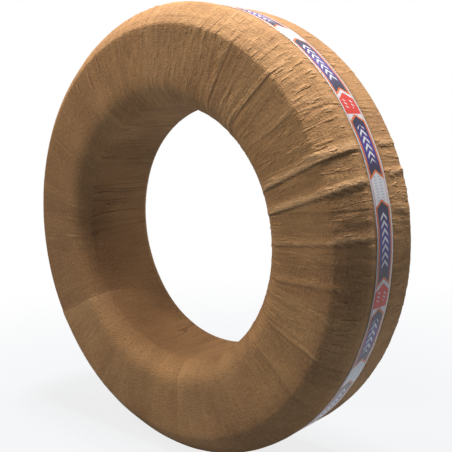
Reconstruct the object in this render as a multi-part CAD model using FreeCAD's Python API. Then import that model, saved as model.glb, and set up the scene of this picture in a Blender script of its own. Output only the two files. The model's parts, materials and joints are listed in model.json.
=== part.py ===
"""A coil of multilayer pipe, wrapped in crepe paper and banded with a printed tape.

The coil stands on its tread like a wheel.  Its axis lies along Y, the middle of its
width is at y = 0, and its lowest line touches z = 0 under the origin.

Three pieces, each turned about the axis:
    pipe_windings      the wound pipe, as one plain ring
    crepe_paper_wrap   the paper, wound round and round the ring through its bore
    printed_tape       one turn of tape round the tread, pressed flush into the paper
"""

import FreeCAD, Part
import math
import os

from FreeCAD import Vector

# ---- overall sizes, mm -------------------------------------------------------------
OUTER_RADIUS = 400.0        # axis to the tread of the wrapped coil
COIL_WIDTH = 192.0          # from one flat side face to the other
BORE_RADIUS = 228.0         # axis to the bore wall of the wrapped coil

# ---- outer rim: tread, shoulder and side face --------------------------------------
TREAD_INSET = 34.0          # side face to the edge of the tread, along the axis
SHOULDER_INSET = 10.0       # side face to the crease in the middle of the shoulder
SHOULDER_DROP = 23.0        # how far that crease lies below the tread
FACE_DROP = 38.0            # tread to the outer edge of the flat side face
TREAD_ROUND = 20.0          # rounding between tread and shoulder
SHOULDER_ROUND = 12.0       # rounding of the crease in the middle of the shoulder
FACE_ROUND = 12.0           # rounding between shoulder and side face

# ---- inner rim: the mouth of the bore ----------------------------------------------
MOUTH_FLARE = 26.0          # bore wall to the inner edge of the flat side face
MOUTH_DEPTH = 28.0          # side face to the end of the straight bore wall
MOUTH_ROUND = 40.0          # rounding between side face and mouth
BORE_ROUND = 14.0           # rounding between mouth and bore wall

# ---- wrap and tape -----------------------------------------------------------------
PAPER_THICKNESS = 1.6       # all layers of crepe paper together
TAPE_WIDTH = 45.0
TAPE_THICKNESS = 0.4
TAPE_OFFSET = 17.0          # middle of the tread to the middle of the tape, towards y < 0

AXIS_HEIGHT = OUTER_RADIUS  # the coil stands on its tread


def section_corners():
    """Return the wrapped coil's section as (radius, along the axis, rounding) corners."""
    half = COIL_WIDTH / 2
    near_side = [
        (BORE_RADIUS, half - MOUTH_DEPTH, BORE_ROUND),
        (BORE_RADIUS + MOUTH_FLARE, half, MOUTH_ROUND),
        (OUTER_RADIUS - FACE_DROP, half, FACE_ROUND),
        (OUTER_RADIUS - SHOULDER_DROP, half - SHOULDER_INSET, SHOULDER_ROUND),
        (OUTER_RADIUS, half - TREAD_INSET, TREAD_ROUND),
    ]
    far_side = [(radius, -along, rounding) for radius, along, rounding in reversed(near_side)]
    return near_side + far_side


def rounded_wire(corners):
    """Join the corners by straight lines, with a tangent arc at each one."""
    points = [Vector(radius, along, 0) for radius, along, _ in corners]
    arcs = []
    for index, (_, _, rounding) in enumerate(corners):
        point = points[index]
        back = (points[index - 1] - point).normalize()
        ahead = (points[(index + 1) % len(points)] - point).normalize()
        half_angle = back.getAngle(ahead) / 2
        reach = rounding / math.tan(half_angle)
        to_middle = rounding / math.sin(half_angle) - rounding
        middle = point + (back + ahead).normalize() * to_middle
        arcs.append((point + back * reach, middle, point + ahead * reach))
    edges = []
    for index, (start, middle, end) in enumerate(arcs):
        next_start = arcs[(index + 1) % len(arcs)][0]
        edges.append(Part.Arc(start, middle, end).toShape())
        edges.append(Part.LineSegment(end, next_start).toShape())
    return Part.Wire(edges)


def turned(wire):
    """Turn a closed wire about the Y axis and lift the solid so that it stands on z = 0."""
    solid = Part.Face(wire).revolve(Vector(0, 0, 0), Vector(0, 1, 0), 360)
    solid.translate(Vector(0, 0, AXIS_HEIGHT))
    return solid


def pipe_windings(outline):
    """The wound pipe fills the wrap from inside."""
    return turned(outline.makeOffset2D(-PAPER_THICKNESS))


def printed_tape():
    """The tape's outside is level with the tread."""
    inside = OUTER_RADIUS - TAPE_THICKNESS
    near = -TAPE_OFFSET - TAPE_WIDTH / 2
    far = -TAPE_OFFSET + TAPE_WIDTH / 2
    corners = [(inside, near), (OUTER_RADIUS, near), (OUTER_RADIUS, far), (inside, far)]
    return turned(Part.makePolygon([Vector(r, y, 0) for r, y in corners + corners[:1]]))


def crepe_paper_wrap(outline, windings, tape):
    """The paper closes round the windings, and the tape sits in a shallow groove."""
    return turned(outline).cut(windings).cut(tape)


def main():
    """Build the three pieces and write one STEP file for each."""
    outline = rounded_wire(section_corners())
    windings = pipe_windings(outline)
    tape = printed_tape()
    pieces = {
        "pipe_windings": windings,
        "crepe_paper_wrap": crepe_paper_wrap(outline, windings, tape),
        "printed_tape": tape,
    }
    os.makedirs("parts", exist_ok=True)
    for name, shape in pieces.items():
        print(name, shape.ShapeType, "solids", len(shape.Solids), "valid", shape.isValid(),
              "volume", round(shape.Volume / 1e6, 4), "litres")
        shape.exportStep(f"parts/{name}.step")


main()
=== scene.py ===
"""The looks of a paper-wrapped coil of multilayer pipe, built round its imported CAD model.

The coil stands on its tread, with its axis along Y.  Two pieces are modelled here, and each
replaces the plain CAD node of the same name:

    crepe_paper_wrap   one strip of crepe paper, wound round and round the ring of pipe
    printed_tape       one turn of printed film tape round the tread

The wound pipe is the CAD node pipe_windings, and lies unseen inside the paper.
"""

import json
import logging
import math
from dataclasses import dataclass
from enum import Enum

import bpy
from mathutils import Matrix, Vector


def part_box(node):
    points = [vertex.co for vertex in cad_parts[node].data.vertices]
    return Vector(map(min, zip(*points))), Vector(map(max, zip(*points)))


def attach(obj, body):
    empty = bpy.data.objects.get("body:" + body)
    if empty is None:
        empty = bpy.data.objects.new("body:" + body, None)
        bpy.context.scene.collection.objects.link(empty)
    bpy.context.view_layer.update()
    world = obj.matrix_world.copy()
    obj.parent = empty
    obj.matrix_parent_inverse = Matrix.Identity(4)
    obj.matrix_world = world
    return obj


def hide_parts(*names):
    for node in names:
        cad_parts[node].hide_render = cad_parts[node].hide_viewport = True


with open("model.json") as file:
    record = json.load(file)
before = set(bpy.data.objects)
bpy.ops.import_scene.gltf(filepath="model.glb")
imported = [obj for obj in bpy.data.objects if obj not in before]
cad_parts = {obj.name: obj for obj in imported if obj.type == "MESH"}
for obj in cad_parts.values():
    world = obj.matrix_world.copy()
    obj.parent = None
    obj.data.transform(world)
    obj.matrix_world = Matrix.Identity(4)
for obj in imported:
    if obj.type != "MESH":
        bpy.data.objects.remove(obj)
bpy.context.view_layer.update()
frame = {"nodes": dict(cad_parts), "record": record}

LOG = logging.getLogger("pipe_coil")
MM = 0.001
TAPE_UV = "tape_uv"

Colour = tuple[float, float, float, float]
Socket = bpy.types.NodeSocket
Feed = Socket | float | int | str | tuple


# ---------------------------------------------------------------------------------------------
# Node trees
# ---------------------------------------------------------------------------------------------


class MathOp(Enum):
    """The arithmetic that the trees use."""

    ADD = "ADD"
    SUBTRACT = "SUBTRACT"
    MULTIPLY = "MULTIPLY"
    DIVIDE = "DIVIDE"
    MINIMUM = "MINIMUM"
    MAXIMUM = "MAXIMUM"
    ABSOLUTE = "ABSOLUTE"
    POWER = "POWER"
    FLOOR = "FLOOR"
    FRACTION = "FRACT"
    SINE = "SINE"
    COSINE = "COSINE"
    WRAP = "WRAP"
    FLOORED_MODULO = "FLOORED_MODULO"
    GREATER = "GREATER_THAN"
    LESS = "LESS_THAN"


class NodeSheet:
    """A node tree that short calls fill in."""

    def __init__(self, tree: bpy.types.NodeTree) -> None:
        """Start on a tree.

        Args:
            tree: The shader or geometry tree to add to.
        """
        self.tree = tree

    def node(self, kind: str, inputs: dict[str | int, Feed] | None = None, **settings) -> bpy.types.Node:
        """Add a node.

        Args:
            kind: The node's type name.
            inputs: What goes into its sockets, by name or number.
            settings: Its other properties.

        Returns:
            The new node.
        """
        made = self.tree.nodes.new(kind)
        for name, value in settings.items():
            setattr(made, name, value)
        for key, value in (inputs or {}).items():
            self.feed(made.inputs[key], value)
        return made

    def feed(self, socket: Socket, value: Feed) -> None:
        """Link a socket to another one, or set its plain value.

        Args:
            socket: The input socket.
            value: An output socket or a value.
        """
        if isinstance(value, bpy.types.NodeSocket):
            self.tree.links.new(value, socket)
        else:
            socket.default_value = value

    def math(self, operation: MathOp, *values: Feed) -> Socket:
        """Do one sum.

        Args:
            operation: What to do.
            values: Up to three numbers or sockets.

        Returns:
            The result's socket.
        """
        made = self.node("ShaderNodeMath", operation=operation.value)
        for socket, value in zip(made.inputs, values):
            self.feed(socket, value)
        return made.outputs[0]

    def add(self, first: Feed, second: Feed) -> Socket:
        """Return first plus second."""
        return self.math(MathOp.ADD, first, second)

    def subtract(self, first: Feed, second: Feed) -> Socket:
        """Return first less second."""
        return self.math(MathOp.SUBTRACT, first, second)

    def multiply(self, first: Feed, second: Feed) -> Socket:
        """Return first times second."""
        return self.math(MathOp.MULTIPLY, first, second)

    def ramp(self, value: Feed, low: Feed, high: Feed, to_low: Feed = 0.0, to_high: Feed = 1.0) -> Socket:
        """Ease a value from one range to another, held at both ends.

        Args:
            value: The value to map.
            low: Where the result starts to leave to_low.
            high: Where the result reaches to_high.
            to_low: The result below low.
            to_high: The result above high.

        Returns:
            The mapped value's socket.
        """
        inputs = {"Value": value, "From Min": low, "From Max": high, "To Min": to_low, "To Max": to_high}
        return self.node("ShaderNodeMapRange", inputs, interpolation_type="SMOOTHSTEP").outputs["Result"]

    def combine(self, x: Feed, y: Feed, z: Feed) -> Socket:
        """Return a vector made of three numbers."""
        return self.node("ShaderNodeCombineXYZ", {"X": x, "Y": y, "Z": z}).outputs["Vector"]

    def separate(self, vector: Feed) -> tuple[Socket, Socket, Socket]:
        """Return a vector's three numbers."""
        outputs = self.node("ShaderNodeSeparateXYZ", {"Vector": vector}).outputs
        return outputs["X"], outputs["Y"], outputs["Z"]

    def mix(self, amount: Feed, first: Feed, second: Feed) -> Socket:
        """Blend two colours.

        Args:
            amount: 0 gives the first colour and 1 the second.
            first: A colour.
            second: A colour.

        Returns:
            The blended colour's socket.
        """
        made = self.node("ShaderNodeMix", data_type="RGBA", clamp_factor=True)
        self.feed(made.inputs["Factor"], amount)
        self.feed(made.inputs[6], first)
        self.feed(made.inputs[7], second)
        return made.outputs[2]

    def group(self, tree: bpy.types.NodeTree, **inputs: Feed) -> bpy.types.Node:
        """Place a node group.

        Args:
            tree: The group.
            inputs: What goes into its sockets, with _ for each space in a name.

        Returns:
            The group's node.
        """
        kind = "GeometryNodeGroup" if tree.bl_idname == "GeometryNodeTree" else "ShaderNodeGroup"
        made = self.tree.nodes.new(kind)
        made.node_tree = tree
        for name, value in inputs.items():
            self.feed(made.inputs[name.replace("_", " ")], value)
        return made


class SocketKind(Enum):
    """The kinds of socket that groups are given."""

    NUMBER = "NodeSocketFloat"
    WHOLE = "NodeSocketInt"
    VECTOR = "NodeSocketVector"
    GEOMETRY = "NodeSocketGeometry"
    MATERIAL = "NodeSocketMaterial"


class TreeKind(Enum):
    """The two kinds of tree."""

    GEOMETRY = "GeometryNodeTree"
    SHADER = "ShaderNodeTree"


def new_group(
    name: str, kind: TreeKind, inputs: dict[str, SocketKind], outputs: dict[str, SocketKind]
) -> tuple[NodeSheet, bpy.types.Node, bpy.types.Node]:
    """Make an empty node group.

    Args:
        name: The group's name.
        kind: Shader or geometry.
        inputs: Its inputs' names and kinds.
        outputs: Its outputs' names and kinds.

    Returns:
        The sheet to fill in, the node that holds the inputs, and the node that takes the outputs.
    """
    tree = bpy.data.node_groups.new(name, kind.value)
    for title, socket in inputs.items():
        tree.interface.new_socket(title, in_out="INPUT", socket_type=socket.value)
    for title, socket in outputs.items():
        tree.interface.new_socket(title, in_out="OUTPUT", socket_type=socket.value)
    sheet = NodeSheet(tree)
    return sheet, sheet.node("NodeGroupInput"), sheet.node("NodeGroupOutput")


# ---------------------------------------------------------------------------------------------
# The coil's section
# ---------------------------------------------------------------------------------------------


@dataclass(frozen=True)
class TapeLean:
    """How the tape strays from a straight line as it goes round the tread.

    Attributes:
        angle: Where it lies furthest towards the near side, in degrees.
        near_side: How much further it lies to that side there than opposite.
        far_side: How far it lies towards the other side, opposite.
        sharpness: How quickly the lean fades away from its angle.
    """

    angle: float = -50.0
    near_side: float = 7 * MM
    far_side: float = 1 * MM
    sharpness: float = 3.0

    def at(self, angle: float) -> float:
        """Return how far the tape strays, towards the far side.

        Args:
            angle: Angle round the coil, in radians.
        """
        lean = (0.5 + 0.5 * math.cos(angle - math.radians(self.angle))) ** self.sharpness
        return self.far_side - self.near_side * lean

    def drawn(self, sheet: NodeSheet, angle: Socket) -> Socket:
        """Return the same as at, worked out by nodes.

        Args:
            sheet: The tree.
            angle: Angle round the coil, in radians.
        """
        turned = sheet.math(MathOp.COSINE, sheet.subtract(angle, math.radians(self.angle)))
        lean = sheet.math(MathOp.POWER, sheet.add(sheet.multiply(turned, 0.5), 0.5), self.sharpness)
        return sheet.subtract(self.far_side, sheet.multiply(lean, self.near_side))


@dataclass(frozen=True)
class CoilSection:
    """The wrapped coil's section, as the CAD model has it, in metres.

    Attributes:
        outer_radius: Axis to tread.
        half_width: Middle of the coil to a side face.
        bore_radius: Axis to bore wall.
        tape_half_width: Middle of the tape to one of its edges.
        tape_middle: Middle of the tread to the middle of the tape.
        tread_inset: Side face to the edge of the tread.
        shoulder_inset: Side face to the crease in the shoulder.
        shoulder_drop: Tread to that crease.
        face_drop: Tread to the outer edge of the side face.
        mouth_flare: Bore wall to the inner edge of the side face.
        mouth_depth: Side face to the straight bore wall.
        roundings: Rounding at bore, mouth, face, shoulder and tread.
        tape_lean: How the tape strays round the tread.
    """

    outer_radius: float
    half_width: float
    bore_radius: float
    tape_half_width: float
    tape_middle: float
    tread_inset: float = 34 * MM
    shoulder_inset: float = 10 * MM
    shoulder_drop: float = 23 * MM
    face_drop: float = 38 * MM
    mouth_flare: float = 26 * MM
    mouth_depth: float = 28 * MM
    roundings: tuple[float, ...] = (14 * MM, 40 * MM, 12 * MM, 12 * MM, 20 * MM)
    tape_lean: TapeLean = TapeLean()

    @classmethod
    def from_frame(cls) -> "CoilSection":
        """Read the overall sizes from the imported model."""
        low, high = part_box("crepe_paper_wrap")
        tape_low, tape_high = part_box("printed_tape")
        bore = next(m for m in frame["record"]["mounts"] if m["name"] == "bore")
        return cls(
            outer_radius=(high.x - low.x) / 2,
            half_width=(high.y - low.y) / 2,
            bore_radius=bore["dims"]["r_mm"] * MM,
            tape_half_width=(tape_high.y - tape_low.y) / 2,
            tape_middle=(tape_high.y + tape_low.y) / 2,
        )

    @property
    def axis_height(self) -> float:
        """Floor to axis, because the coil stands on its tread."""
        return self.outer_radius

    def corners(self) -> list[tuple[Vector, float]]:
        """Return each corner as (radius, along) with its rounding, from the bore outwards and back."""
        half = self.half_width
        places = [
            (self.bore_radius, half - self.mouth_depth),
            (self.bore_radius + self.mouth_flare, half),
            (self.outer_radius - self.face_drop, half),
            (self.outer_radius - self.shoulder_drop, half - self.shoulder_inset),
            (self.outer_radius, half - self.tread_inset),
        ]
        first = [(Vector(place), rounding) for place, rounding in zip(places, self.roundings)]
        second = [(Vector((place.x, -place.y)), rounding) for place, rounding in reversed(first)]
        return first + second

    def outline(self, arc_steps: int = 3) -> list[Vector]:
        """Return the section's points, from the middle of the bore wall round to it again.

        Args:
            arc_steps: How many steps each rounding has.
        """
        corners = self.corners()
        start = Vector((self.bore_radius, 0))
        points = [start]
        for index, (corner, rounding) in enumerate(corners):
            back = (corners[index - 1][0] - corner).normalized()
            ahead = (corners[(index + 1) % len(corners)][0] - corner).normalized()
            half_angle = back.angle(ahead) / 2
            centre = corner + (back + ahead).normalized() * (rounding / math.sin(half_angle))
            first = corner + back * (rounding / math.tan(half_angle)) - centre
            last = corner + ahead * (rounding / math.tan(half_angle)) - centre
            turn = first.angle_signed(last)
            for step in range(arc_steps + 1):
                swung = first.copy()
                swung.rotate(Matrix.Rotation(-turn * step / arc_steps, 2))
                points.append(centre + swung)
        return points + [start]

    def outline_length(self) -> float:
        """Return the way once round the section."""
        points = self.outline()
        return sum((b - a).length for a, b in zip(points, points[1:]))

    def rows(self, longest: float = 9 * MM) -> list[tuple[Vector, Vector, float]]:
        """Return where the paper's mesh has its rows, close together at the roundings.

        Args:
            longest: The most that two rows lie apart.

        Returns:
            For each row its place, the way out of the coil there, and how far round the section it
            is, from 0 to 1.  The last row is the first one again.
        """
        points = self.outline()
        places = [points[0]]
        for before, after in zip(points, points[1:]):
            parts = max(1, math.ceil((after - before).length / longest))
            places += [before.lerp(after, part / parts) for part in range(1, parts + 1)]
        whole = self.outline_length()
        gone, rows = 0.0, []
        for index, place in enumerate(places):
            before = places[index - 1] if index else places[-2]
            after = places[index + 1] if index + 1 < len(places) else places[1]
            ahead = (after - place).normalized() + (place - before).normalized()
            gone += (place - before).length if index else 0.0
            rows.append((place, Vector((-ahead.y, ahead.x)).normalized(), gone / whole))
        return rows


# ---------------------------------------------------------------------------------------------
# Finishes
# ---------------------------------------------------------------------------------------------


@dataclass(frozen=True)
class CrepePaperFinish:
    """Brown crepe kraft paper.

    Attributes:
        kraft: The paper's own colour.
        pale_and_highlight: Paler colour, for paler strips and for painted highlight on raised relief and
            crinkle tops.
        shade: Darker colour, for painted shade in creases, hollows and strip edges, and for duller paper.
        ruddy: Warmer tint of some strips.
        grain: Height of one unit of the crinkles.
        roughness: How matt the paper is.
    """

    kraft: Colour = (0.410, 0.224, 0.094, 1)
    pale_and_highlight: Colour = (0.610, 0.375, 0.190, 1)
    shade: Colour = (0.120, 0.058, 0.030, 1)
    ruddy: Colour = (0.350, 0.178, 0.078, 1)
    grain: float = 1.0 * MM
    roughness: float = 0.82

    def material(self, section: CoilSection) -> bpy.types.Material:
        """Build the paper's material.

        Args:
            section: The coil's section, which the crinkles follow.
        """
        made = bpy.data.materials.new("crepe_paper")
        made.use_nodes = True
        made.node_tree.nodes.clear()
        sheet = NodeSheet(made.node_tree)
        position = sheet.node("ShaderNodeTexCoord").outputs["Object"]
        grain = sheet.group(
            crepe_grain_group(),
            Place=position,
            Phase=sheet.node("ShaderNodeAttribute", attribute_name="section_phase").outputs["Vector"],
            Gathered=self.attribute(sheet, "gathered"),
            Axis_Height=section.axis_height,
            Ring_Radius=section.outer_radius,
            Bore_Radius=section.bore_radius,
            Section_Length=section.outline_length(),
        ).outputs
        relief = self.attribute(sheet, "relief")
        mottle = sheet.node(
            "ShaderNodeTexNoise", {"Vector": position, "Scale": 9.0, "Detail": 4.0, "Roughness": 0.6}
        ).outputs["Fac"]
        body = sheet.mix(sheet.ramp(mottle, 0.35, 0.7, 0.0, 0.5), self.kraft, self.ruddy)
        pale_strip = sheet.ramp(self.attribute(sheet, "strip_tone"), 0.4, 0.7, 0.0, 0.16)
        body = sheet.mix(pale_strip, body, self.pale_and_highlight)
        # Duller paper up to the edge of the last lap, and painted shade on one stretch of the near shoulder.
        body = sheet.mix(sheet.multiply(self.attribute(sheet, "older"), 0.24), body, self.shade)
        # Painted highlight on raised relief, and painted shade in its hollows.
        body = sheet.mix(sheet.ramp(relief, 0.50, 1.0, 0.0, 0.5), body, self.pale_and_highlight)
        body = sheet.mix(sheet.ramp(relief, 0.38, 0.0, 0.0, 0.6), body, self.shade)
        # Painted shade at the feet of the folds and along the strip edges.
        body = sheet.mix(sheet.multiply(self.attribute(sheet, "strip_edge"), 0.85), body, self.shade)
        # Painted shade in the crinkles' hollows and painted highlight on their tops.
        body = sheet.mix(sheet.ramp(grain["Tone"], 0.52, 0.34, 0.0, 0.50), body, self.shade)
        body = sheet.mix(sheet.ramp(grain["Tone"], 0.54, 0.68, 0.0, 0.28), body, self.pale_and_highlight)
        bump = sheet.node(
            "ShaderNodeBump", {"Height": grain["Height"], "Distance": self.grain, "Strength": 1.0}
        )
        shader = sheet.node(
            "ShaderNodeBsdfPrincipled",
            {"Base Color": body, "Normal": bump.outputs["Normal"], "Specular IOR Level": 0.18},
        )
        shader.inputs["Roughness"].default_value = self.roughness
        out = sheet.node("ShaderNodeOutputMaterial")
        sheet.feed(out.inputs["Surface"], shader.outputs["BSDF"])
        return made

    @staticmethod
    def attribute(sheet: NodeSheet, name: str) -> Socket:
        """Return one of the wrap's own attributes."""
        return sheet.node("ShaderNodeAttribute", attribute_name=name).outputs["Fac"]


def crepe_grain_group() -> bpy.types.NodeTree:
    """Return the group that draws the paper's crinkles, built once.

    Its height is in millimetres.  Gathered, from 0 to 1, brings out the short puckers.  Its tone is painted
    shade and highlight that follow the crinkles' height, with painted shade in the thin pinched lines by the
    bore.
    """
    name = "crepe_grain"
    if name in bpy.data.node_groups:
        return bpy.data.node_groups[name]
    number, vector = SocketKind.NUMBER, SocketKind.VECTOR
    kinds = {"Place": vector, "Phase": vector, "Gathered": number, "Axis Height": number}
    kinds.update({"Ring Radius": number, "Bore Radius": number, "Section Length": number})
    sheet, source, sink = new_group(name, TreeKind.SHADER, kinds, {"Height": number, "Tone": number})
    inputs = source.outputs
    x, _, z = sheet.separate(inputs["Place"])
    spoke = sheet.combine(x, sheet.subtract(z, inputs["Axis Height"]), 0.0)
    direction = sheet.node("ShaderNodeVectorMath", {0: spoke}, operation="NORMALIZE").outputs["Vector"]

    def crinkle(pitch: float, length: float, detail: float, seed: float) -> Socket:
        """Return noise of that size round the ring and across."""
        return sheet.group(
            ring_noise_group(TreeKind.SHADER),
            Direction=direction,
            Phase=inputs["Phase"],
            Ring_Radius=inputs["Ring Radius"],
            Section_Length=inputs["Section Length"],
            Pitch=pitch,
            Length=length,
            Detail=detail,
            Seed=seed,
        ).outputs["Value"]

    puckers = sheet.ramp(crinkle(6.5 * MM, 22 * MM, 1.0, 3.0), 0.55, 0.70)
    puckers = sheet.multiply(puckers, sheet.multiply(inputs["Gathered"], 1.2))
    spokes = crinkle(4.5 * MM, 48 * MM, 2.0, 13.0)
    weave = crinkle(8.0 * MM, 2.6 * MM, 2.0, 23.0)
    fibres = crinkle(1.6 * MM, 3.0 * MM, 2.0, 33.0)
    radius = sheet.node("ShaderNodeVectorMath", {0: spoke}, operation="LENGTH").outputs["Value"]
    on_wall = sheet.ramp(radius, inputs["Bore Radius"], sheet.add(inputs["Bore Radius"], 6 * MM), 1.0, 0.0)
    thread = sheet.math(MathOp.ABSOLUTE, sheet.subtract(crinkle(26 * MM, 190 * MM, 0.0, 43.0), 0.5))
    broken = sheet.ramp(crinkle(70 * MM, 90 * MM, 0.0, 53.0), 0.44, 0.60)
    pinched = sheet.multiply(sheet.ramp(thread, 0.004, 0.020, 1.0, 0.0), sheet.multiply(on_wall, broken))
    height = sheet.add(puckers, sheet.multiply(spokes, 0.8))
    height = sheet.add(height, sheet.multiply(weave, 1.3))
    height = sheet.add(height, sheet.multiply(fibres, 0.7))
    height = sheet.subtract(height, sheet.multiply(pinched, 0.9))
    sheet.feed(sink.inputs["Height"], height)
    # Painted shade and highlight that follow the crinkles' height, and painted shade in the pinched lines.
    tone = sheet.add(sheet.multiply(spokes, 0.20), sheet.multiply(weave, 0.45))
    tone = sheet.add(tone, sheet.multiply(fibres, 0.40))
    sheet.feed(sink.inputs["Tone"], sheet.subtract(tone, sheet.multiply(pinched, 0.24)))
    return sheet.tree


@dataclass(frozen=True)
class TapePrint:
    """Glossy film tape with a print that repeats along it, in metres.

    Attributes:
        repeat: Length of one repeat.
        long_bar: Length of the longer violet bar.
        short_bar: Length of the shorter violet bar.
        red_block: Length of the red block.
        slant: How far a bar's end runs on from the tape's middle to its edge.
        border: Plain edge on each side of the print.
        outline: Width of the orange line round a bar.
        gap: Bare film between the red block and the next bar.
        head_pitch: Distance from one arrowhead to the next.
        head_reach: Middle of the tape to the end of an arrowhead.
        half_width: Middle of the tape to one of its edges.
        paper, violet, navy, red, orange, grey: The inks, and the bare film.
        roughness: How matt the film is.
    """

    repeat: float = 0.294
    long_bar: float = 0.118
    short_bar: float = 0.092
    red_block: float = 0.044
    slant: float = 0.012
    border: float = 3.2 * MM
    outline: float = 4 * MM
    gap: float = 6 * MM
    head_pitch: float = 11.5 * MM
    head_reach: float = 8.5 * MM
    half_width: float = 22.5 * MM
    paper: Colour = (0.56, 0.55, 0.55, 1)
    violet: Colour = (0.042, 0.020, 0.190, 1)
    navy: Colour = (0.006, 0.005, 0.018, 1)
    red: Colour = (0.520, 0.022, 0.008, 1)
    orange: Colour = (0.520, 0.120, 0.030, 1)
    grey: Colour = (0.300, 0.300, 0.420, 1)
    roughness: float = 0.30

    def material(self) -> bpy.types.Material:
        """Build the tape's material."""
        made = bpy.data.materials.new("printed_film_tape")
        made.use_nodes = True
        made.node_tree.nodes.clear()
        sheet = NodeSheet(made.node_tree)
        length, across, _ = sheet.separate(sheet.node("ShaderNodeUVMap", uv_map=TAPE_UV).outputs["UV"])
        colour = self.printed(sheet, length, across)
        ripple = sheet.node(
            "ShaderNodeTexNoise",
            {"Vector": sheet.combine(length, across, 0.0), "Scale": 55.0, "Detail": 2.0},
        ).outputs["Fac"]
        bump = sheet.node("ShaderNodeBump", {"Height": ripple, "Distance": 0.5 * MM, "Strength": 0.6})
        shader = sheet.node(
            "ShaderNodeBsdfPrincipled", {"Base Color": colour, "Normal": bump.outputs["Normal"]}
        )
        shader.inputs["Roughness"].default_value = self.roughness
        shader.inputs["Specular IOR Level"].default_value = 0.25
        out = sheet.node("ShaderNodeOutputMaterial")
        sheet.feed(out.inputs["Surface"], shader.outputs["BSDF"])
        return made

    def printed(self, sheet: NodeSheet, length: Socket, across: Socket) -> Socket:
        """Return the print's colour at a place on the tape.

        Args:
            sheet: The material's sheet.
            length: Distance along the tape.
            across: Distance from the tape's middle.
        """
        side = sheet.math(MathOp.ABSOLUTE, across)
        field_half = self.half_width - self.border
        place = sheet.math(MathOp.FLOORED_MODULO, length, self.repeat)
        run_on = sheet.multiply(side, self.slant / field_half)
        arrow = sheet.add(place, run_on)

        long_start = self.red_block
        long_end = long_start + self.long_bar
        short_start = self.repeat - self.short_bar
        inside = sheet.math(MathOp.LESS, side, field_half)

        colour = self.pale_section(sheet, place, side)
        for start, end in ((long_start, long_end), (short_start, self.repeat)):
            bar = self.between(sheet, arrow, start, end)
            inner = self.between(sheet, arrow, start + self.outline, end - self.outline)
            slim = sheet.math(MathOp.LESS, side, field_half - self.outline)
            colour = sheet.mix(sheet.multiply(bar, inside), colour, self.orange)
            fill = self.bar_fill(sheet, arrow, side, start, end)
            colour = sheet.mix(sheet.multiply(inner, slim), colour, fill)
        block = self.between(sheet, arrow, 0.0, self.red_block - self.gap)
        colour = sheet.mix(sheet.multiply(block, inside), colour, self.red_fill(sheet, place, across))
        return colour

    def between(self, sheet: NodeSheet, value: Socket, low: float, high: float) -> Socket:
        """Return 1 where value lies between low and high, and 0 elsewhere."""
        above = sheet.math(MathOp.GREATER, value, low)
        return sheet.multiply(above, sheet.math(MathOp.LESS, value, high))

    def bar_fill(self, sheet: NodeSheet, arrow: Socket, side: Socket, start: float, end: float) -> Socket:
        """Return a violet bar's colour: dark at its ends, with a row of pale arrowheads."""
        middle = (start + end) / 2
        from_middle = sheet.math(MathOp.ABSOLUTE, sheet.subtract(arrow, middle))
        ground = sheet.mix(sheet.ramp(from_middle, 0.0, (end - start) / 2), self.violet, self.navy)
        swept = sheet.add(arrow, sheet.multiply(side, 0.35))
        beat = sheet.math(MathOp.FLOORED_MODULO, swept, self.head_pitch)
        head = sheet.math(MathOp.LESS, beat, self.head_pitch * 0.42)
        clear = 18 * MM
        reach = self.between(sheet, arrow, start + clear, end - clear)
        slim = sheet.math(MathOp.LESS, side, self.head_reach)
        return sheet.mix(sheet.multiply(sheet.multiply(head, reach), slim), ground, self.paper)

    def red_fill(self, sheet: NodeSheet, place: Socket, across: Socket) -> Socket:
        """Return the red block's colour: two short rows of pale dashes."""
        beat = sheet.math(MathOp.FLOORED_MODULO, sheet.add(place, sheet.multiply(across, 0.5)), 0.0062)
        dash = sheet.math(MathOp.LESS, beat, 0.0024)
        row = sheet.math(MathOp.ABSOLUTE, sheet.subtract(sheet.math(MathOp.ABSOLUTE, across), 0.0085))
        rows = sheet.math(MathOp.LESS, row, 0.0030)
        reach = self.between(sheet, place, 0.010, 0.026)
        return sheet.mix(sheet.multiply(sheet.multiply(dash, rows), reach), self.red, self.paper)

    def pale_section(self, sheet: NodeSheet, place: Socket, side: Socket) -> Socket:
        """Return the bare film's colour: faint ticks and a thin red line near each edge."""
        beat = sheet.math(MathOp.FLOORED_MODULO, place, 0.0044)
        tick = sheet.math(MathOp.LESS, beat, 0.0020)
        rows = sheet.multiply(sheet.math(MathOp.LESS, side, 0.0100), sheet.math(MathOp.GREATER, side, 0.0035))
        colour = sheet.mix(sheet.multiply(sheet.multiply(tick, rows), 0.75), self.paper, self.grey)
        line = self.between(sheet, side, self.half_width - 0.0052, self.half_width - 0.0040)
        return sheet.mix(sheet.multiply(line, 0.8), colour, self.red)


@dataclass(frozen=True)
class PipeFinish:
    """White polyethylene, the outer layer of the pipe.

    Attributes:
        white: The plastic's colour.
        roughness: How matt it is.
    """

    white: Colour = (0.74, 0.74, 0.71, 1)
    roughness: float = 0.45

    def material(self) -> bpy.types.Material:
        """Build the pipe's material."""
        made = bpy.data.materials.new("pipe_polyethylene")
        made.use_nodes = True
        made.node_tree.nodes.clear()
        sheet = NodeSheet(made.node_tree)
        position = sheet.node("ShaderNodeTexCoord").outputs["Object"]
        cloud = sheet.node("ShaderNodeTexNoise", {"Vector": position, "Scale": 30.0}).outputs["Fac"]
        colour = sheet.mix(sheet.ramp(cloud, 0.3, 0.7, 0.0, 0.3), self.white, (0.62, 0.62, 0.60, 1))
        shader = sheet.node("ShaderNodeBsdfPrincipled", {"Base Color": colour})
        shader.inputs["Roughness"].default_value = self.roughness
        out = sheet.node("ShaderNodeOutputMaterial")
        sheet.feed(out.inputs["Surface"], shader.outputs["BSDF"])
        return made


# ---------------------------------------------------------------------------------------------
# The crepe paper wrap
# ---------------------------------------------------------------------------------------------


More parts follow.
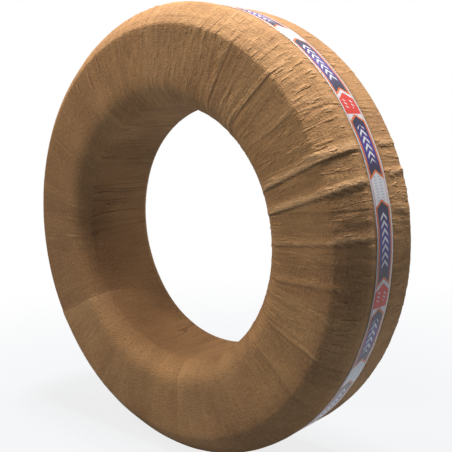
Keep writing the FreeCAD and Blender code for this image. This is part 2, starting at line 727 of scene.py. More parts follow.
@dataclass(frozen=True)
class Fold:
    """A pleat where the paper was pulled over itself.

    Attributes:
        angle: Its place round the coil in degrees, from +X towards the top.
        slant: How many degrees it drifts across half the section.
        middle: Its middle across the section, from 0 to 1.
        reach: How far it runs each way from there.
        height: How high its ledge stands.
        width: How far the ledge takes to fade, back from its sharp edge.
    """

    angle: float
    slant: float
    middle: float
    reach: float
    height: float
    width: float


@dataclass(frozen=True)
class ShoulderShadeStretch:
    """A stretch of the near shoulder drawn darker: painted shade, standing in for the shade that falls there.

    Attributes:
        angle: Its middle round the coil, in degrees.
        round_coil: Cosines of the turn from there at which it begins and is full.
        rise: Places across the section, from 0 to 1, where it begins and is full.
        fall: Places across the section where it starts to fade and is gone.
        strength: How dark the painted shade is, where 1 is as dark as the duller paper of the laps before the
            last one.
    """

    angle: float = -28.0
    round_coil: tuple[float, float] = (0.62, 0.92)
    rise: tuple[float, float] = (0.55, 0.62)
    fall: tuple[float, float] = (0.66, 0.73)
    strength: float = 1.7

    def drawn(self, sheet: NodeSheet, angle: Socket, across: Socket) -> Socket:
        """Return how dark the painted shade makes the paper, worked out by nodes.

        Args:
            sheet: The tree.
            angle: Angle round the coil.
            across: Place round the section, from 0 to 1.
        """
        turned = sheet.math(MathOp.COSINE, sheet.subtract(angle, math.radians(self.angle)))
        band = sheet.multiply(sheet.ramp(across, *self.rise), sheet.ramp(across, *self.fall, 1.0, 0.0))
        return sheet.multiply(sheet.ramp(turned, *self.round_coil, 0.0, self.strength), band)


def ring_noise_group(kind: TreeKind) -> bpy.types.NodeTree:
    """Return the group that gives noise which closes round the ring and round its section.

    Direction and Phase hold a cosine and a sine each, of the angle round the ring and of the place
    round its section.  Pitch is the noise's size round the ring, and Length its size across.

    Args:
        kind: Whether the group is for the mesh or for the material.

    Returns:
        The group, built once for each kind.
    """
    name = "ring_noise_" + kind.name.lower()
    if name in bpy.data.node_groups:
        return bpy.data.node_groups[name]
    number, vector = SocketKind.NUMBER, SocketKind.VECTOR
    kinds = {"Direction": vector, "Phase": vector, "Ring Radius": number, "Section Length": number}
    kinds.update({"Pitch": number, "Length": number, "Detail": number, "Seed": number})
    sheet, source, sink = new_group(name, kind, kinds, {"Value": number})
    inputs = source.outputs
    around = sheet.math(MathOp.DIVIDE, inputs["Ring Radius"], inputs["Pitch"])
    way_round = sheet.multiply(inputs["Length"], 2 * math.pi)
    across = sheet.math(MathOp.DIVIDE, inputs["Section Length"], way_round)
    cosine, sine, _ = sheet.separate(inputs["Direction"])
    phase_cosine, phase_sine, _ = sheet.separate(inputs["Phase"])
    place = sheet.combine(
        sheet.add(sheet.multiply(cosine, around), inputs["Seed"]),
        sheet.multiply(sine, around),
        sheet.multiply(phase_cosine, across),
    )
    depth = sheet.add(sheet.multiply(phase_sine, across), inputs["Seed"])
    noise = sheet.node(
        "ShaderNodeTexNoise",
        {"Vector": place, "W": depth, "Scale": 1.0, "Detail": inputs["Detail"], "Roughness": 0.5},
        noise_dimensions="4D",
    )
    sheet.feed(sink.inputs["Value"], noise.outputs["Fac"])
    return sheet.tree


def fold_group() -> bpy.types.NodeTree:
    """Return the group that gives one pleat's height and the painted shade line at its foot, built once."""
    name = "paper_fold"
    if name in bpy.data.node_groups:
        return bpy.data.node_groups[name]
    number = SocketKind.NUMBER
    titles = ("Angle", "Across", "Radius", "Fold Angle", "Slant", "Middle", "Reach", "Height", "Width")
    kinds = {title: number for title in titles}
    sheet, source, sink = new_group(name, TreeKind.GEOMETRY, kinds, {"Height": number, "Crease": number})
    inputs = source.outputs
    off_middle = sheet.subtract(inputs["Across"], inputs["Middle"])
    drift = sheet.multiply(off_middle, sheet.multiply(inputs["Slant"], 2.0))
    apart = sheet.subtract(sheet.subtract(inputs["Angle"], inputs["Fold Angle"]), drift)
    wrapped = sheet.math(MathOp.WRAP, apart, math.pi, -math.pi)
    distance = sheet.multiply(wrapped, inputs["Radius"])
    ledge = sheet.ramp(distance, sheet.multiply(inputs["Width"], -0.10), 0.0)
    fade = sheet.ramp(distance, 0.0, inputs["Width"], 1.0, 0.0)
    off = sheet.math(MathOp.ABSOLUTE, off_middle)
    ends = sheet.ramp(off, sheet.multiply(inputs["Reach"], 0.55), inputs["Reach"], 1.0, 0.0)
    height = sheet.multiply(sheet.multiply(ledge, fade), sheet.multiply(ends, inputs["Height"]))
    sheet.feed(sink.inputs["Height"], height)
    # Painted shade in a narrow band at the ledge's foot.
    dark_from = sheet.ramp(distance, -3.2 * MM, -1.6 * MM)
    foot = sheet.multiply(dark_from, sheet.ramp(distance, -0.6 * MM, 0.6 * MM, 1.0, 0.0))
    depth = sheet.ramp(inputs["Height"], 0.0, 1.4 * MM)
    sheet.feed(sink.inputs["Crease"], sheet.multiply(foot, sheet.multiply(ends, depth)))
    return sheet.tree


@dataclass
class CrepePaperWrap:
    """The paper strip, wound round and round the ring of pipe.

    Attributes:
        section: The coil's section.
        finish: The paper.
        strip_turns: How many times the strip goes round the section.
        steps_per_turn: Mesh steps round the coil for each of them.
        first_edge: Angle of one strip edge at the tread, in degrees.
        seed: Picks the creases that chance makes.
        drift: How far a strip strays from its even place, in degrees.
        bunching: How much closer mesh steps lie at a strip's edges, from 0 to 1.
        painted_shoulder_shade: Where painted shade darkens the shoulder's paper.
        last_lap: The edge of the lap that was wound last.
        folds: The large pleats.
    """

    section: CoilSection
    finish: CrepePaperFinish = CrepePaperFinish()
    strip_turns: int = 30
    steps_per_turn: int = 34
    first_edge: float = 1.5
    seed: int = 7
    drift: float = 3.0
    bunching: float = 0.4
    painted_shoulder_shade: ShoulderShadeStretch = ShoulderShadeStretch()
    last_lap: Fold = Fold(212.5, 8.0, 0.80, 0.19, 1.1 * MM, 40 * MM)
    folds: tuple[Fold, ...] = (
        Fold(20.8, -2.4, 0.68, 0.24, 2.2 * MM, 20 * MM),
        Fold(13.0, -4.7, 0.69, 0.23, 2.5 * MM, 18 * MM),
        Fold(21.9, -2.4, 0.440, 0.050, 1.9 * MM, 14 * MM),
        Fold(15.3, -4.7, 0.440, 0.050, 2.0 * MM, 14 * MM),
        Fold(46.0, 6.0, 0.72, 0.12, 0.9 * MM, 12 * MM),
        Fold(60.0, 4.0, 0.74, 0.13, 0.8 * MM, 10 * MM),
        Fold(1.6, -3.0, 0.72, 0.20, 1.0 * MM, 16 * MM),
        Fold(-9.5, -8.0, 0.74, 0.14, 0.9 * MM, 14 * MM),
        Fold(-26.5, -1.0, 0.72, 0.10, 0.8 * MM, 12 * MM),
        Fold(54.0, 0.0, 0.452, 0.022, 1.6 * MM, 7 * MM),
        Fold(115.5, 3.0, 0.69, 0.050, 1.1 * MM, 7 * MM),
        Fold(121.5, 3.0, 0.70, 0.065, 1.2 * MM, 8 * MM),
        Fold(128.0, 4.0, 0.69, 0.045, 1.0 * MM, 7 * MM),
        Fold(139.0, 5.0, 0.71, 0.060, 1.0 * MM, 8 * MM),
        Fold(149.0, 4.0, 0.73, 0.050, 0.9 * MM, 8 * MM),
        Fold(163.0, 0.0, 0.930, 0.045, 1.4 * MM, 8 * MM),
        Fold(174.0, 2.0, 0.950, 0.040, 0.7 * MM, 8 * MM),
        Fold(176.0, 4.0, 0.835, 0.030, 1.0 * MM, 7 * MM),
        Fold(183.5, 6.0, 0.825, 0.035, 1.5 * MM, 9 * MM),
        Fold(185.0, -4.0, 0.70, 0.035, 1.0 * MM, 8 * MM),
    )

    def __post_init__(self) -> None:
        """Make the paper once."""
        self.paper = self.finish.material(self.section)

    def build(self) -> bpy.types.Object:
        """Build the wrap as one closed mesh.

        Returns:
            The piece, riding on the root body in place of its CAD node.
        """
        rows = self.section.rows()
        path = bpy.data.meshes.new("crepe_paper_wrap")
        path.from_pydata([(place.x, place.y, 0.0) for place, _, _ in rows], [], [])
        path.attributes.new("outward", "FLOAT_VECTOR", "POINT")
        path.attributes.new("share", "FLOAT", "POINT")
        outward, share = path.attributes["outward"], path.attributes["share"]
        for index, (_, out, gone) in enumerate(rows):
            outward.data[index].vector = (out.x, out.y, 0.0)
            share.data[index].value = gone
        piece = bpy.data.objects.new("crepe_paper_wrap", path)
        bpy.context.scene.collection.objects.link(piece)
        piece = shaped_by(piece, self.tree(), self.sizes())
        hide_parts("crepe_paper_wrap")
        return report(piece)

    def sizes(self) -> dict[str, float | int | bpy.types.Material]:
        """Return the tree's named inputs."""
        return {
            "Axis Height": self.section.axis_height,
            "Ring Radius": self.section.outer_radius,
            "Section Length": self.section.outline_length(),
            "Strip Turns": self.strip_turns,
            "Steps Around": self.strip_turns * self.steps_per_turn + 1,
            "Rows": len(self.section.rows()),
            "First Edge": math.radians(self.first_edge),
            "Strip Step": 0.55 * MM,
            "Pucker Pitch": 9.5 * MM,
            "Pucker Length": 32 * MM,
            "Pucker Height": 1.05 * MM,
            "Pleat Pitch": 13 * MM,
            "Pleat Length": 120 * MM,
            "Pleat Height": 0.8 * MM,
            "Wave Pitch": 90 * MM,
            "Wave Height": 1.0 * MM,
            "Tape Half Width": self.section.tape_half_width,
            "Tape Middle": self.section.tape_middle,
            "Lowest": -1.3 * MM,
            "Highest": 2.6 * MM,
            "Seed": float(self.seed),
            "Paper": self.paper,
        }

    def tree(self) -> bpy.types.NodeTree:
        """Return the tree that turns the section into the creased wrap."""
        kinds = {name: SocketKind.NUMBER for name in self.sizes_names()}
        kinds.update({"Strip Turns": SocketKind.WHOLE, "Steps Around": SocketKind.WHOLE})
        kinds.update({"Rows": SocketKind.WHOLE, "Paper": SocketKind.MATERIAL})
        sheet, source, sink = new_group(
            "crepe_paper_wrap",
            TreeKind.GEOMETRY,
            {"Section": SocketKind.GEOMETRY, **kinds},
            {"Wrap": SocketKind.GEOMETRY},
        )
        size = source.outputs
        grid = sheet.node(
            "GeometryNodeMeshGrid",
            {"Size X": 1.0, "Size Y": 1.0, "Vertices X": size["Steps Around"], "Vertices Y": size["Rows"]},
        ).outputs["Mesh"]
        x, y, _ = sheet.separate(sheet.node("GeometryNodeInputPosition").outputs["Position"])
        grid = self.stored(sheet, grid, "around", sheet.add(x, 0.5))
        last_row = sheet.subtract(size["Rows"], 1.0)
        grid = self.stored(sheet, grid, "row", sheet.multiply(sheet.add(y, 0.5), last_row))
        around = self.named(sheet, "around")
        row = sheet.math(MathOp.FLOOR, sheet.add(self.named(sheet, "row"), 0.5))

        def of_row(value: Socket, kind: str) -> Socket:
            """Return what the section's mesh holds for this row."""
            inputs = {"Geometry": size["Section"], "Value": value, "Index": row}
            node = sheet.node("GeometryNodeSampleIndex", None, data_type=kind, domain="POINT", clamp=True)
            for key, feed_in in inputs.items():
                sheet.feed(node.inputs[key], feed_in)
            return node.outputs["Value"]

        across = of_row(self.named(sheet, "share"), "FLOAT")
        turn = sheet.multiply(across, 2 * math.pi)
        phase = sheet.combine(sheet.math(MathOp.COSINE, turn), sheet.math(MathOp.SINE, turn), 0.0)

        angle, within, strip = self.strip_place(sheet, size, around, across, phase)
        place = of_row(sheet.node("GeometryNodeInputPosition").outputs["Position"], "FLOAT_VECTOR")
        radius, along, _ = sheet.separate(place)
        outward = sheet.node("GeometryNodeInputNamedAttribute", {"Name": "outward"}, data_type="FLOAT_VECTOR")
        out_radius, out_along, _ = sheet.separate(of_row(outward.outputs["Attribute"], "FLOAT_VECTOR"))

        gathered = sheet.math(MathOp.COSINE, sheet.subtract(angle, math.radians(38)))
        gathered = sheet.ramp(gathered, -0.35, 0.95, 0.12, 1.0)
        parts, seen, gathered, creased = self.relief_parts(
            sheet, size, angle, across, phase, radius, within, gathered
        )
        total = parts[0]
        for part in parts[1:]:
            total = sheet.add(total, part)
        total = self.under_tape(sheet, size, total, angle, radius, along)
        total = sheet.math(MathOp.MINIMUM, sheet.math(MathOp.MAXIMUM, total, size["Lowest"]), size["Highest"])

        reach = sheet.add(radius, sheet.multiply(out_radius, total))
        up = sheet.add(sheet.multiply(sheet.math(MathOp.SINE, angle), reach), size["Axis Height"])
        place = sheet.combine(
            sheet.multiply(sheet.math(MathOp.COSINE, angle), reach),
            sheet.add(along, sheet.multiply(out_along, total)),
            sheet.math(MathOp.MAXIMUM, up, 0.0),
        )
        relief = sheet.ramp(total, -0.9 * MM, 2.2 * MM)
        edge = sheet.ramp(sheet.math(MathOp.ABSOLUTE, sheet.subtract(within, 0.5)), 0.47, 0.5)
        wound = sheet.math(MathOp.DIVIDE, sheet.add(strip, across), size["Strip Turns"])
        lap = sheet.multiply(wound, 2 * math.pi)
        tone = sheet.node(
            "ShaderNodeTexNoise",
            {
                "Vector": sheet.combine(
                    sheet.multiply(sheet.math(MathOp.COSINE, lap), 9.0),
                    sheet.multiply(sheet.math(MathOp.SINE, lap), 9.0),
                    size["Seed"],
                ),
                "Scale": 1.0,
                "Detail": 1.0,
            },
        ).outputs["Fac"]
        # The relief's height, which the paper's colour also uses for painted highlight on ridges and painted
        # shade in hollows.
        mesh = self.stored(sheet, grid, "relief", relief)
        # Painted shade at the fold feet and at the strip edges.
        dark = sheet.math(MathOp.MAXIMUM, creased, sheet.multiply(sheet.multiply(edge, seen), 0.38))
        mesh = self.stored(sheet, mesh, "strip_edge", dark)
        mesh = self.stored(sheet, mesh, "gathered", gathered)
        # Duller paper up to the last lap, and painted shade on the near shoulder.
        mesh = self.stored(sheet, mesh, "older", self.older(sheet, angle, across))
        toned = self.stored(sheet, mesh, "strip_tone", tone)
        mesh = sheet.node(
            "GeometryNodeStoreNamedAttribute", None, data_type="FLOAT_VECTOR", domain="POINT"
        )
        for key, value in {"Geometry": toned, "Name": "section_phase", "Value": phase}.items():
            sheet.feed(mesh.inputs[key], value)
        mesh = mesh.outputs["Geometry"]
        steps = (
            ("GeometryNodeSetPosition", {"Position": place}),
            ("GeometryNodeRemoveAttribute", {"Name": "around"}),
            ("GeometryNodeRemoveAttribute", {"Name": "row"}),
            ("GeometryNodeMergeByDistance", {"Distance": 0.1 * MM}),
            ("GeometryNodeSetShadeSmooth", {}),
            ("GeometryNodeRealizeInstances", {}),
            ("GeometryNodeSetMaterial", {"Material": size["Paper"]}),
        )
        for kind, inputs in steps:
            mesh = sheet.node(kind, {"Geometry": mesh, **inputs}).outputs["Geometry"]
        sheet.feed(sink.inputs["Wrap"], mesh)
        return sheet.tree

    def sizes_names(self) -> list[str]:
        """Return the names of the tree's inputs, in order."""
        return list(self.sizes())

    @staticmethod
    def stored(sheet: NodeSheet, mesh: Socket, name: str, value: Socket) -> Socket:
        """Keep a number for each point of a mesh, under a name, and return the mesh."""
        inputs = {"Geometry": mesh, "Name": name, "Value": value}
        node = sheet.node("GeometryNodeStoreNamedAttribute", None, data_type="FLOAT", domain="POINT")
        for key, value_in in inputs.items():
            sheet.feed(node.inputs[key], value_in)
        return node.outputs["Geometry"]

    @staticmethod
    def named(sheet: NodeSheet, name: str) -> Socket:
        """Return a number that was kept under a name."""
        node = sheet.node("GeometryNodeInputNamedAttribute", {"Name": name}, data_type="FLOAT")
        return node.outputs["Attribute"]

    def strip_place(
        self, sheet: NodeSheet, size: dict, around: Socket, across: Socket, phase: Socket
    ) -> tuple[Socket, Socket, Socket]:
        """Lay the strip's edges along the mesh.

        Args:
            sheet: The tree.
            size: The tree's inputs.
            around: Place round the coil, from 0 to 1.
            across: Place round the section, from 0 to 1.
            phase: That place's cosine and sine.

        Returns:
            The angle round the coil, the place within the strip from 0 to 1, and the strip's number.
        """
        # The hair added keeps a strip's first point from being counted as the last of the one before.
        counted = sheet.add(sheet.multiply(around, size["Strip Turns"]), 1e-4)
        strip = sheet.math(MathOp.FLOOR, counted)
        within = sheet.math(MathOp.FRACTION, counted)
        wave = sheet.math(MathOp.SINE, sheet.multiply(within, 2 * math.pi))
        bunch = sheet.multiply(wave, self.bunching / (2 * math.pi))
        spread = sheet.subtract(sheet.add(strip, within), bunch)
        lap = sheet.math(MathOp.DIVIDE, sheet.add(spread, across), size["Strip Turns"])
        straight = sheet.add(sheet.multiply(lap, 2 * math.pi), size["First Edge"])
        drift = self.noise(sheet, size, straight, phase, 0.10, 0.16, 1.0, 31.0)
        angle = sheet.add(straight, sheet.multiply(sheet.subtract(drift, 0.5), math.radians(self.drift)))
        return angle, within, strip

    @staticmethod
    def noise(
        sheet: NodeSheet,
        size: dict,
        angle: Socket,
        phase: Socket,
        pitch: Feed,
        length: Feed,
        detail: float,
        shift: float,
    ) -> Socket:
        """Return ring noise.

        Args:
            sheet: The tree.
            size: The tree's inputs.
            angle: Angle round the coil.
            phase: Cosine and sine of the place round the section.
            pitch: The noise's size round the coil.
            length: Its size across.
            detail: How many finer layers it has.
            shift: What is added to the seed.
        """
        return sheet.group(
            ring_noise_group(TreeKind.GEOMETRY),
            Direction=sheet.combine(sheet.math(MathOp.COSINE, angle), sheet.math(MathOp.SINE, angle), 0.0),
            Phase=phase,
            Ring_Radius=size["Ring Radius"],
            Section_Length=size["Section Length"],
            Pitch=pitch,
            Length=length,
            Detail=detail,
            Seed=sheet.add(size["Seed"], shift),
        ).outputs["Value"]

    def relief_parts(
        self,
        sheet: NodeSheet,
        size: dict,
        angle: Socket,
        across: Socket,
        phase: Socket,
        radius: Socket,
        within: Socket,
        gathered: Socket,
    ) -> tuple[list[Socket], Socket, Socket, Socket]:
        """Return the heights that add up to the relief, where strips and puckers show, and the painted shade
        along creases.
        """

        def noise(pitch: Feed, length: Feed, detail: float, shift: float) -> Socket:
            """Return ring noise of that pitch and length."""
            return self.noise(sheet, size, angle, phase, pitch, length, detail, shift)

        puckers = sheet.ramp(noise(size["Pucker Pitch"], size["Pucker Length"], 1.0, 0.0), 0.54, 0.70)
        patch = sheet.ramp(noise(0.10, 0.14, 1.0, 5.0), 0.36, 0.58, 0.3, 1.0)
        gathered = sheet.multiply(gathered, patch)
        puckers = sheet.multiply(sheet.multiply(puckers, size["Pucker Height"]), gathered)

        ridges = sheet.subtract(noise(size["Pleat Pitch"], size["Pleat Length"], 2.0, 11.0), 0.5)
        ridges = sheet.ramp(sheet.math(MathOp.ABSOLUTE, ridges), 0.0, 0.10, 1.0, 0.0)
        ridges = sheet.multiply(ridges, sheet.ramp(noise(0.15, 0.2, 1.0, 17.0), 0.42, 0.66, 0.1, 1.0))
        pleats = sheet.multiply(sheet.multiply(ridges, size["Pleat Height"]), gathered)

        waves = sheet.subtract(noise(size["Wave Pitch"], 0.12, 2.0, 23.0), 0.5)
        waves = sheet.multiply(waves, size["Wave Height"])

        seen = sheet.ramp(noise(0.20, 0.30, 1.0, 29.0), 0.42, 0.62, 0.15, 1.0)
        seen = sheet.multiply(seen, sheet.ramp(gathered, 0.0, 0.35, 0.30, 1.0))
        lapped = sheet.multiply(sheet.subtract(1.0, within), sheet.multiply(size["Strip Step"], seen))
        lapped = sheet.multiply(lapped, sheet.subtract(1.0, within))

        parts = [puckers, pleats, waves, lapped]
        creased = None
        for fold in (*self.folds, self.last_lap):
            laid = (
                sheet.group(
                    fold_group(),
                    Angle=angle,
                    Across=across,
                    Radius=radius,
                    Fold_Angle=math.radians(fold.angle),
                    Slant=math.radians(fold.slant),
                    Middle=fold.middle,
                    Reach=fold.reach,
                    Height=fold.height,
                    Width=fold.width,
                ).outputs
            )
            parts.append(laid["Height"])
            crease = laid["Crease"]
            creased = crease if creased is None else sheet.math(MathOp.MAXIMUM, creased, crease)
        return parts, seen, gathered, creased

    def older(self, sheet: NodeSheet, angle: Socket, across: Socket) -> Socket:
        """Return where the paper is drawn darker: duller paper up to the edge of the last lap, and painted
        shade on one stretch of shoulder.

        Args:
            sheet: The tree.
            angle: Angle round the coil.
            across: Place round the section, from 0 to 1.
        """
        lap = self.last_lap
        drift = sheet.multiply(sheet.subtract(across, lap.middle), math.radians(2 * lap.slant))
        past = sheet.subtract(sheet.subtract(angle, math.radians(lap.angle)), drift)
        past = sheet.math(MathOp.WRAP, past, math.pi, -math.pi)
        began = sheet.ramp(past, math.radians(-100), math.radians(-20))
        ended = sheet.ramp(past, math.radians(-0.35), math.radians(0.05), 1.0, 0.0)
        near = sheet.multiply(sheet.ramp(across, 0.52, 0.62), sheet.ramp(across, 0.93, 0.99, 1.0, 0.0))
        older = sheet.multiply(sheet.multiply(began, ended), near)
        # Adds the painted shade of the shoulder's stretch.
        return sheet.math(MathOp.MAXIMUM, older, self.painted_shoulder_shade.drawn(sheet, angle, across))

    def under_tape(
        self, sheet: NodeSheet, size: dict, height: Socket, angle: Socket, radius: Socket, along: Socket
    ) -> Socket:
        """Press the paper flat under the tape, which leans to and fro."""
        tread_from = sheet.subtract(size["Ring Radius"], 2 * MM)
        on_tread = sheet.ramp(radius, tread_from, sheet.subtract(size["Ring Radius"], 1 * MM))
        middle = sheet.add(size["Tape Middle"], self.section.tape_lean.drawn(sheet, angle))
        side = sheet.math(MathOp.ABSOLUTE, sheet.subtract(along, middle))
        free_from = sheet.add(size["Tape Half Width"], 1.5 * MM)
        covered = sheet.ramp(side, free_from, sheet.add(free_from, 8 * MM), 1.0, 0.0)
        pressed = sheet.multiply(on_tread, covered)
        free = sheet.multiply(height, sheet.subtract(1.0, pressed))
        return sheet.add(free, sheet.multiply(pressed, -0.3 * MM))


def shaped_by(
    piece: bpy.types.Object, tree: bpy.types.NodeTree, sizes: dict[str, float | int | bpy.types.Material]
) -> bpy.types.Object:
    """Run a geometry tree on a piece and keep the result as its plain mesh.

    Args:
        piece: The object that holds what the tree starts from.
        tree: The geometry tree.
        sizes: The tree's inputs, by name.

    Returns:
        A new object of the same name, with the plain mesh.
    """
    modifier = piece.modifiers.new("shape", "NODES")
    modifier.node_group = tree
    for item in tree.interface.items_tree:
        if item.item_type == "SOCKET" and item.in_out == "INPUT" and item.name in sizes:
            modifier[item.identifier] = sizes[item.name]
    bpy.context.view_layer.update()
    graph = bpy.context.evaluated_depsgraph_get()
    mesh = bpy.data.meshes.new_from_object(
        piece.evaluated_get(graph), preserve_all_data_layers=True, depsgraph=graph
    )
    name = piece.name
    started_from = piece.data
    bpy.data.objects.remove(piece)
    bpy.data.meshes.remove(started_from)
    mesh.name = name
    keep_used_materials(mesh)
    made = bpy.data.objects.new(name, mesh)
    bpy.context.scene.collection.objects.link(made)
    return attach(made, "root")


def keep_used_materials(mesh: bpy.types.Mesh) -> None:
    """Drop a mesh's empty material slots, where it has one material in all."""
    used = [material for material in mesh.materials if material is not None]
    mesh.materials.clear()
    mesh.materials.append(used[0])
    mesh.polygons.foreach_set("material_index", [0] * len(mesh.polygons))


def report(piece: bpy.types.Object) -> bpy.types.Object:
    """Log a piece's name, size and face count.

    Args:
        piece: The finished piece.

    Returns:
        The same piece.
    """
    triangles = sum(len(face.vertices) - 2 for face in piece.data.polygons)
    LOG.info("%s: %d triangles, %s m", piece.name, triangles, [round(s, 4) for s in piece.dimensions])
    return piece


# ---------------------------------------------------------------------------------------------
# The tape
# ---------------------------------------------------------------------------------------------


@dataclass
class PrintedTape:
    """One turn of film tape round the tread.

    Attributes:
        section: The coil's section.
        finish: The film and its print.
        start: Angle of the tape's first end, in degrees.
        overlap: How many degrees its last end lies over the first.
        film: The film's thickness.
        lift: How far the film stands above the tread.
        steps: Mesh steps round the coil.
        steps_across: Mesh steps over the tape's width.
    """

    section: CoilSection
    finish: TapePrint = TapePrint()
    start: float = -97.0
    overlap: float = 9.0
    film: float = 0.25 * MM
    lift: float = 0.30 * MM
    steps: int = 900
    steps_across: int = 8

    def build(self) -> bpy.types.Object:
        """Build the tape as one closed band with two ends.

        Returns:
            The piece, riding on the root body in place of its CAD node.
        """
        half = self.section.tape_half_width
        top = [(half * (2 * i / self.steps_across - 1), 0.0) for i in range(self.steps_across + 1)]
        loop = top + [(along, -self.film) for along, _ in reversed(top)]
        vertices, faces, flat = [], [], []
        for step in range(self.steps + 1):
            turn = math.radians(360 + self.overlap) * step / self.steps
            for along, drop in loop:
                vertices.append(self.place(turn, along, drop))
                flat.append((turn * self.section.outer_radius, along))
        count = len(loop)
        for step in range(self.steps):
            for i in range(count):
                a, b = step * count + i, step * count + (i + 1) % count
                faces.append((a, b, b + count, a + count))
        faces.append(tuple(reversed(range(count))))
        faces.append(tuple(range(self.steps * count, (self.steps + 1) * count)))
        mesh = bpy.data.meshes.new("printed_tape")
        mesh.from_pydata(vertices, [], faces)
        layer = mesh.uv_layers.new(name=TAPE_UV)
        for corner in mesh.loops:
            layer.data[corner.index].uv = flat[corner.vertex_index]
        for face in mesh.polygons:
            face.use_smooth = True
        mesh.materials.append(self.finish.material())
        mesh.update()
        piece = bpy.data.objects.new("printed_tape", mesh)
        bpy.context.scene.collection.objects.link(piece)
        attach(piece, "root")
        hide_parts("printed_tape")
        return report(piece)

    def place(self, turn: float, along: float, drop: float) -> tuple[float, float, float]:
        """Return a point of the tape.

        Args:
            turn: How far round the coil it is, in radians from the tape's start.
            along: Its distance from the middle of the tape.
            drop: How far it lies below the tape's face, as a number below zero.
        """
        angle = math.radians(self.start) + turn
        middle = self.section.tape_middle + self.section.tape_lean.at(angle)
        billow = 0.16 * MM * (math.sin(23 * angle) + math.sin(37 * angle + 1.3 + 60 * along))
        over = 1.0 if turn > math.radians(360) else 0.0
        radius = self.section.outer_radius + self.lift + drop + billow + over * self.film
        height = self.section.axis_height + radius * math.sin(angle)
        return (radius * math.cos(angle), along + middle, max(height, 0.0))


# ---------------------------------------------------------------------------------------------
# Stage, light and camera
# ---------------------------------------------------------------------------------------------


@dataclass(frozen=True)
class Lamp:
    """A soft rectangular lamp that faces a point.

    Attributes:
        name: Its name.
        place: Where it stands.
        target: What it faces.
        size: Its width and height.
        power: Its power in watts.
        colour: Its colour.
    """

    name: str
    place: tuple[float, float, float]
    target: tuple[float, float, float]
    size: tuple[float, float]
    power: float
    colour: tuple[float, float, float] = (1.0, 1.0, 1.0)

    def hang(self) -> None:
        """Add the lamp to the scene."""
        data = bpy.data.lights.new(self.name, "AREA")
        data.shape = "RECTANGLE"
        data.size, data.size_y = self.size
        data.energy = self.power
        data.color = self.colour
        lamp = bpy.data.objects.new(self.name, data)
        facing = Vector(self.target) - Vector(self.place)
        lamp.rotation_euler = facing.to_track_quat("-Z", "Y").to_euler()
        lamp.location = self.place
        bpy.context.scene.collection.objects.link(lamp)


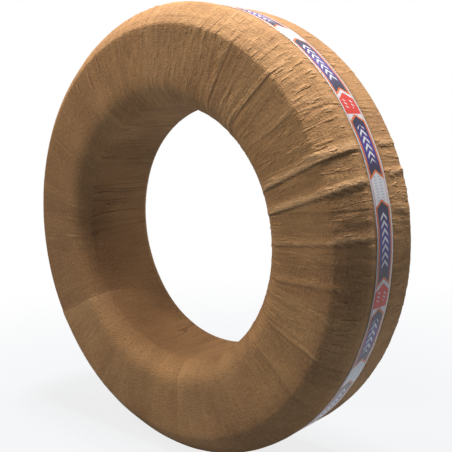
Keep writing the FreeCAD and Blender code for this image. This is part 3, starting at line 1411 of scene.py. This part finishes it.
@dataclass
class Studio:
    """The plain pale floor, the lamps and the camera.

    Attributes:
        section: The coil's section.
        azimuth: The camera's turn round the coil in degrees, from straight in front towards +X.
        elevation: Its height above the level in degrees.
        roll: Its turn about its own line of sight in degrees.
        distance: Its distance from the coil's middle.
        aim_sideways: How far the view's centre lies beside the coil's middle.
        aim_up: How far it lies above the coil's middle.
        lens: Its focal length in millimetres, for a frame 36 mm wide.
        lamps: The lamps.
    """

    section: CoilSection
    azimuth: float = 42.47
    elevation: float = 7.41
    roll: float = -2.02
    distance: float = 1.2854
    aim_sideways: float = 0.0516
    aim_up: float = 0.0063
    lens: float = 55.0
    lamps: tuple[Lamp, ...] = (
        Lamp("key_overhead", (0.42, -0.02, 4.1), (0.0, 0.0, 0.6), (0.7, 0.7), 258.0, (1.0, 0.98, 0.98)),
        Lamp("fill_front", (-1.35, -1.75, 3.2), (0.0, 0.0, 0.4), (0.9, 0.9), 72.0, (1.0, 0.91, 0.80)),
        Lamp("back_through_bore", (0.9, 2.1, 3.2), (0.0, 0.0, 0.3), (0.8, 0.8), 36.0, (1.0, 0.96, 0.94)),
    )

    def build(self) -> None:
        """Add the floor, the world, the lamps and the camera."""
        self.floor()
        self.world()
        for lamp in self.lamps:
            lamp.hang()
        self.camera()
        bpy.context.scene.view_settings.view_transform = "Standard"

    def floor(self) -> None:
        """Lay the pale floor."""
        half = 12.0
        mesh = bpy.data.meshes.new("floor")
        corners = [(-half, -half, 0), (half, -half, 0), (half, half, 0), (-half, half, 0)]
        mesh.from_pydata(corners, [], [(0, 1, 2, 3)])
        made = bpy.data.materials.new("floor_white")
        made.use_nodes = True
        made.node_tree.nodes.clear()
        sheet = NodeSheet(made.node_tree)
        place = sheet.node("ShaderNodeTexCoord").outputs["Object"]
        away = sheet.node("ShaderNodeVectorMath", {0: place}, operation="LENGTH").outputs["Value"]
        lit = sheet.node("ShaderNodeBsdfDiffuse", {"Color": (0.24, 0.28, 0.32, 1)})
        white = sheet.node("ShaderNodeEmission", {"Color": (1, 1, 1, 1), "Strength": 1.0})
        blend = sheet.node("ShaderNodeMixShader")
        shown = sheet.multiply(self.seen_as_background(sheet), sheet.ramp(away, 0.3, 1.6, 0.82, 1.0))
        sheet.feed(blend.inputs[0], shown)
        sheet.feed(blend.inputs[1], lit.outputs["BSDF"])
        sheet.feed(blend.inputs[2], white.outputs["Emission"])
        out = sheet.node("ShaderNodeOutputMaterial")
        sheet.feed(out.inputs["Surface"], blend.outputs["Shader"])
        mesh.materials.append(made)
        floor = bpy.data.objects.new("floor", mesh)
        bpy.context.scene.collection.objects.link(floor)

    @staticmethod
    def seen_as_background(sheet: NodeSheet) -> Socket:
        """Return 1 for what the camera sees, directly, mirrored or through glass, and else 0."""
        path = sheet.node("ShaderNodeLightPath").outputs
        direct = sheet.math(MathOp.MAXIMUM, path["Is Camera Ray"], path["Is Glossy Ray"])
        return sheet.math(MathOp.MAXIMUM, direct, path["Is Transmission Ray"])

    def world(self) -> None:
        """Light the scene softly all round, and show the camera plain white."""
        world = bpy.data.worlds.new("studio")
        world.use_nodes = True
        world.node_tree.nodes.clear()
        sheet = NodeSheet(world.node_tree)
        soft = sheet.node("ShaderNodeBackground", {"Color": (0.78, 0.84, 1.0, 1), "Strength": 0.10})
        white = sheet.node("ShaderNodeBackground", {"Color": (1, 1, 1, 1), "Strength": 1.0})
        blend = sheet.node("ShaderNodeMixShader")
        sheet.feed(blend.inputs[0], self.seen_as_background(sheet))
        sheet.feed(blend.inputs[1], soft.outputs["Background"])
        sheet.feed(blend.inputs[2], white.outputs["Background"])
        out = sheet.node("ShaderNodeOutputWorld")
        sheet.feed(out.inputs["Surface"], blend.outputs["Shader"])
        bpy.context.scene.world = world

    def camera(self) -> None:
        """Set up the camera."""
        azimuth, elevation, roll = (math.radians(a) for a in (self.azimuth, self.elevation, self.roll))
        back = Vector(
            (
                math.sin(azimuth) * math.cos(elevation),
                -math.cos(azimuth) * math.cos(elevation),
                math.sin(elevation),
            )
        )
        level = Vector((0, 0, 1)).cross(back).normalized()
        upright = back.cross(level)
        right = level * math.cos(roll) + upright * math.sin(roll)
        up = upright * math.cos(roll) - level * math.sin(roll)
        middle = Vector((0, 0, self.section.axis_height))
        place = middle + right * self.aim_sideways + up * self.aim_up + back * self.distance
        data = bpy.data.cameras.new("camera")
        data.lens = self.lens
        data.sensor_width = 36.0
        camera = bpy.data.objects.new("camera", data)
        rotation = Matrix((right, up, back)).transposed().to_4x4()
        camera.matrix_world = Matrix.Translation(place) @ rotation
        bpy.context.scene.collection.objects.link(camera)
        bpy.context.scene.camera = camera


# ---------------------------------------------------------------------------------------------
# Putting it together
# ---------------------------------------------------------------------------------------------


def dress_pipe() -> None:
    """Give the unseen windings their plastic finish."""
    windings = frame["nodes"]["pipe_windings"]
    windings.data.materials.clear()
    windings.data.materials.append(PipeFinish().material())
    report(windings)


def main() -> None:
    """Build every piece round the frame, and the studio round them."""
    logging.basicConfig(level=logging.INFO, format="%(name)s: %(message)s")
    section = CoilSection.from_frame()
    Studio(section).build()
    dress_pipe()
    CrepePaperWrap(section).build()
    PrintedTape(section).build()
    bpy.context.view_layer.update()


if __name__ == "__main__":
    main()
